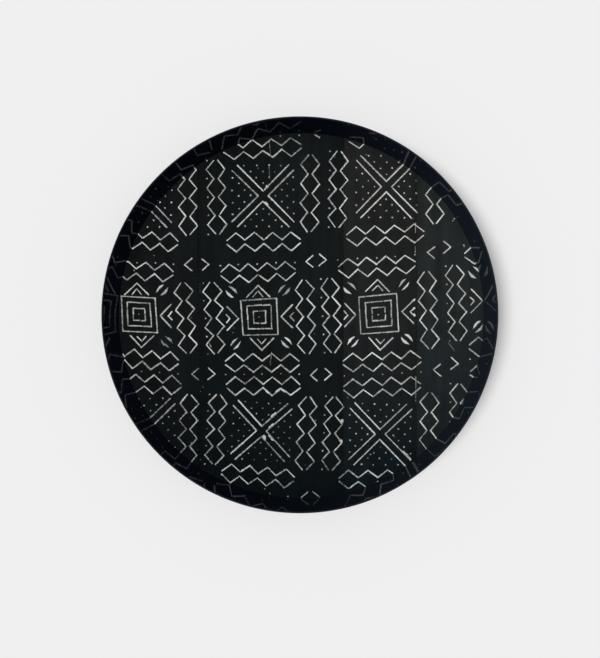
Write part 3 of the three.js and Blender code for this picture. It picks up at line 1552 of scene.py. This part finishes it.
        mesh = bmesh.new()
        paint, dry, near = (mesh.verts.layers.float.new(name) for name in ("paint", "dry", "near"))
        dye = mesh.verts.layers.float_color.new("dye")
        made: dict[int, bmesh.types.BMVert] = {}
        for k in sorted({k for face in faces for k in face}):
            place = (flat[k].x, flat[k].y)
            made[k] = mesh.verts.new((place[0] * MM, place[1] * MM, self.height(number, place) * MM))
            made[k][paint], made[k][dry], made[k][near] = self.lookup.paint_at(place)
            # The dye's colour comes with painted light, lighter at the far end and darker at the near end
            made[k][dye] = self.dye_and_painted_light_at(number, place)
        for face in faces:
            mesh.faces.new([made[k] for k in face])
        return mesh

    def strip(self, number: int) -> Piece:
        """Builds one strip as a thin closed sheet.

        Args:
            number: Its place from the left, from 0.

        Returns:
            The strip.
        """
        mesh = self.face_of(number)
        # The cut edge goes straight down, and one flat face closes the underside
        rim = [edge for edge in mesh.edges if edge.is_boundary]
        grown = bmesh.ops.extrude_edge_only(mesh, edges=rim)["geom"]
        paint = mesh.verts.layers.float["paint"]
        for vertex in (part for part in grown if isinstance(part, bmesh.types.BMVert)):
            vertex.co.z = self.under * MM
            vertex[paint] = FADE
        foot = [part for part in grown if isinstance(part, bmesh.types.BMEdge) and part.is_boundary]
        bmesh.ops.contextual_create(mesh, geom=foot)
        bmesh.ops.recalc_face_normals(mesh, faces=mesh.faces)
        piece = piece_from(mesh, f"painted_strip_{number + 1}")
        bpy.ops.object.shade_smooth_by_angle(angle=math.radians(self.smoothing))
        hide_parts(self.names[number])
        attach(piece, "root")
        return piece

    def flat_size(self, number: int) -> tuple[tuple[float, float], float]:
        """Works out the size that a strip was cut to.

        Args:
            number: Its place from the left, from 0.

        Returns:
            Width and length, and area, in metres and square metres.
        """
        left, right = self.spans[number]
        points = self.outline(left, right)
        area = sum(x0 * y1 - x1 * y0 for (x0, y0), (x1, y1) in zip(points, points[1:] + points[:1])) / 2
        length = 2 * max(y for _, y in points)
        return ((right - left) * MM, length * MM), area * MM * MM


@dataclass
class SeamThread:
    """Whip stitches that join the strips. Lengths are in millimetres.

    Attributes:
        spacing: Distance between stitches.
        reach: How far a stitch goes into each strip.
        slant: How far it slants along the seam.
        thread: Half the thread's thickness.
        sides: Sides of the thread.
        bends: Cuts across a stitch, at which it bends.
        arch: How far the stitch stands over the cloth.
        dip: How far its ends go down.
        end_gap: How far the sewing stops from the cut edge.
        slip_along: How far a stitch may lie from its place along the seam.
        slip_across: How far it may lie from its place across the seam.
        twist: How far it may be turned, in radians.
        seed: Start of the random draws, one more for each seam.
    """

    spacing: float = 6.0
    reach: float = 1.7
    slant: float = 1.5
    thread: float = 0.26
    sides: int = 6
    bends: int = 5
    arch: float = 0.16
    dip: float = 0.7
    end_gap: float = 3.0
    slip_along: float = 0.5
    slip_across: float = 0.12
    twist: float = 0.18
    seed: int = 500

    def stitch(self) -> Piece:
        """Models one stitch: a short rod, bent down into the cloth at both ends.

        Returns:
            The stitch, lying along X at the origin.
        """
        bpy.ops.object.select_all(action="DESELECT")
        size = {"radius": self.thread * MM, "depth": 2 * self.reach * MM}
        bpy.ops.mesh.primitive_cylinder_add(vertices=self.sides, rotation=(0, math.pi / 2, 0), **size)
        rod = bpy.context.object
        select_alone(rod)
        bpy.ops.object.transform_apply(location=True, rotation=True, scale=True)
        bpy.ops.object.mode_set(mode="EDIT")
        pick(rod, Part.EDGE, lambda edge: abs(edge.verts[0].co.x - edge.verts[1].co.x) > self.reach * MM)
        bpy.ops.mesh.subdivide_edgering(number_cuts=self.bends, smoothness=0)
        mesh = bmesh.from_edit_mesh(rod.data)
        for vertex in mesh.verts:
            share = vertex.co.x / (self.reach * MM)
            vertex.co.z += (self.arch - self.dip * share**4) * MM
            vertex.co.y += self.slant * share / 2 * MM
        bmesh.update_edit_mesh(rod.data)
        bpy.ops.object.mode_set(mode="OBJECT")
        return rod

    def seam(self, number: int, x: float, top: float, radius: float) -> Piece:
        """Sews one seam from end to end.

        Args:
            number: The seam's place from the left, from 1.
            x: Where it runs.
            top: Height of the cloth's face there.
            radius: The cloth's radius.

        Returns:
            All the seam's stitches as one piece.
        """
        model = self.stitch()
        chance = random.Random(self.seed + number)
        mesh = bmesh.new()
        reach = math.sqrt(radius * radius - x * x) - self.end_gap
        count = int(2 * reach / self.spacing)
        for k in range(count + 1):
            y = -reach + 2 * reach * k / count + chance.uniform(-self.slip_along, self.slip_along)
            before = len(mesh.verts)
            mesh.from_mesh(model.data)
            mesh.verts.ensure_lookup_table()
            turn = Matrix.Rotation(chance.uniform(-self.twist, self.twist), 4, "Z")
            across = x + chance.uniform(-self.slip_across, self.slip_across)
            place = Matrix.Translation((across * MM, y * MM, top * MM))
            for vertex in mesh.verts[before:]:
                vertex.co = place @ turn @ vertex.co
        bpy.data.objects.remove(model)
        piece = piece_from(mesh, f"seam_thread_{number}")
        bpy.ops.object.shade_smooth()
        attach(piece, "root")
        return piece


@dataclass(frozen=True)
class SoftLight:
    """A soft light so large and far that it falls evenly on the whole surface.

    Attributes:
        name: Its name.
        towards: The direction in which it stands.
        spread: How wide it looks from the tray, in degrees.
        strength: Its strength.
        colour: Its linear colour.
        in_gloss: Whether it shows in the gloss of the pieces.
    """

    name: str
    towards: Place
    spread: float
    strength: float
    colour: Place = (1.0, 1.0, 1.0)
    in_gloss: bool = True

    # How far off the lamp hangs, in metres. Its light is the same from any distance.
    DISTANCE = 1.5

    def hang(self) -> Piece:
        """Hangs the light over the surface.

        Returns:
            The light.
        """
        lamp = bpy.data.lights.new(self.name, "SUN")
        lamp.angle = math.radians(self.spread)
        lamp.energy = self.strength
        lamp.color = self.colour
        holder = bpy.data.objects.new(self.name, lamp)
        holder.location = Vector(self.towards).normalized() * self.DISTANCE
        holder.rotation_euler = (-Vector(self.towards)).to_track_quat("-Z", "Y").to_euler()
        holder.visible_glossy = self.in_gloss
        bpy.context.collection.objects.link(holder)
        return holder


class Linking(Enum):
    """Whether a light's group holds the pieces that it works on, or those that it leaves out."""

    INCLUDE = "INCLUDE"
    EXCLUDE = "EXCLUDE"


@dataclass
class Studio:
    """The plain surface, the soft lights and the camera.

    Attributes:
        frame_width: Width of the photograph in pixels.
        frame_height: Height of the photograph in pixels.
        focal_pixels: The lens's focal length in pixels of the photograph.
        principal: Where the lens points, in pixels of the photograph.
        sensor_width: The camera's sensor, in millimetres as the lens is.
        camera_place: The camera's place over the tray, a little to one side of its middle.
        nearest: The nearest that the camera sees.
        floor_side: Side of the pale surface.
        surroundings_colour: Colour of the even light from all round.
        ambient: Its strength.
        key: The main light, which throws the shade beside the tray.
        soft: A second light from the other side.
        low: A warm light on the hoop alone, whose right wall is lighter than the rest.
    """

    frame_width: int = 600
    frame_height: int = 658
    focal_pixels: float = 455.6
    principal: Point = (320.3, 326.4)
    sensor_width: float = 36.0
    camera_place: Place = (24.7 * MM, -14.0 * MM, 600.0 * MM)
    nearest: float = 0.01
    floor_side: float = 6.0
    surroundings_colour: str = "#FAFBFC"
    ambient: float = 0.332
    key: SoftLight = SoftLight("key_from_left", (-0.5, -0.07, 0.86), 22.0, 1.79, in_gloss=False)
    soft: SoftLight = SoftLight("soft_from_far_right", (0.28, 0.30, 0.91), 34.0, 0.60)
    low: SoftLight = SoftLight("low_from_left", (-0.5, 0.1, 0.86), 20.0, 7.4, (1.0, 0.80, 0.44), False)

    def surface(self) -> Piece:
        """Lays the pale surface under the tray.

        Returns:
            The surface.
        """
        bpy.ops.object.select_all(action="DESELECT")
        bpy.ops.mesh.primitive_plane_add(size=self.floor_side, location=(0, 0, 0))
        plane = bpy.context.object
        plane.name = "pale_surface"
        plane.data.materials.append(PaleSurface().material())
        return plane

    def group(self, name: str, members: Sequence[Piece], linking: Linking) -> bpy.types.Collection:
        """Groups pieces that a light includes or leaves out.

        Args:
            name: The group's name.
            members: The pieces.
            linking: Which of the two.

        Returns:
            The group.
        """
        group = bpy.data.collections.new(name)
        for member in members:
            group.objects.link(member)
        for row in group.collection_objects:
            row.light_linking.link_state = linking.value
        return group

    def lights(self, hoop: Piece, board: Piece, lining: Sequence[Piece]) -> None:
        """Hangs the lights, so that the wall's shade falls beside the tray but not on its evenly lit lining.

        Args:
            hoop: The tray's wall.
            board: The tray's board.
            lining: The strips and the seams' thread.
        """
        key, soft, low = (light.hang() for light in (self.key, self.soft, self.low))
        key.light_linking.receiver_collection = self.group("key_leaves_out", lining, Linking.EXCLUDE)
        # The lining has a key light of its own, which passes through the wall
        second = self.key.hang()
        second.name = f"{self.key.name}_on_lining"
        second.light_linking.receiver_collection = self.group("key_reaches", lining, Linking.INCLUDE)
        second.light_linking.blocker_collection = self.group("key_passes", [hoop], Linking.EXCLUDE)
        soft.light_linking.blocker_collection = self.group("soft_passes", [hoop, board], Linking.EXCLUDE)
        low.light_linking.receiver_collection = self.group("low_reaches", [hoop], Linking.INCLUDE)

    def surroundings(self) -> None:
        """Fills the studio with even pale light."""
        world = bpy.data.worlds.new("studio")
        world.use_nodes = True
        background = world.node_tree.nodes["Background"]
        background.inputs["Color"].default_value = linear(self.surroundings_colour)
        background.inputs["Strength"].default_value = self.ambient
        bpy.context.scene.world = world
        bpy.context.scene.view_settings.view_transform = "Standard"

    def camera(self) -> Piece:
        """Sets the camera, which looks straight down.

        Returns:
            The camera.
        """
        lens = bpy.data.cameras.new("camera")
        longest = max(self.frame_width, self.frame_height)
        lens.sensor_width = self.sensor_width
        lens.lens = self.focal_pixels / longest * lens.sensor_width
        lens.shift_x = (self.frame_width / 2 - self.principal[0]) / longest
        lens.shift_y = (self.principal[1] - self.frame_height / 2) / longest
        lens.clip_start = self.nearest
        holder = bpy.data.objects.new("camera", lens)
        holder.location = self.camera_place
        bpy.context.collection.objects.link(holder)
        bpy.context.scene.camera = holder
        return holder


def log_piece(piece: Piece) -> None:
    """Logs a piece's name and its number of faces."""
    LOG.info("%s: %d faces", piece.name, len(piece.data.polygons))


def main() -> None:
    """Builds the tray, its lining and the studio, and reports each piece."""
    studio = Studio()
    studio.camera()
    studio.surface()
    studio.surroundings()

    body = TrayBody()
    hoop = body.hoop()
    board = body.board()
    log_piece(hoop)
    log_piece(board)

    cloth = PaintedCloth()
    sewing = SeamThread()
    thread = TwistedThread().material()
    seams: list[Piece] = []
    for number in range(1, len(cloth.spans)):
        x = (cloth.spans[number - 1][1] + cloth.spans[number][0]) / 2
        seam = sewing.seam(number, x, cloth.top, cloth.radius)
        seam.data.materials.append(thread)
        seams.append(seam)
        log_piece(seam)
    finish = MudDyedCotton().material()
    strips: list[Piece] = []
    for number in range(len(cloth.spans)):
        strip = cloth.strip(number)
        strip.data.materials.append(finish)
        strips.append(strip)
        size, area = cloth.flat_size(number)
        log_piece(strip)
    studio.lights(hoop, board, strips + seams)


if __name__ == "__main__":
    logging.basicConfig(level=logging.INFO, format="%(message)s")
    main()
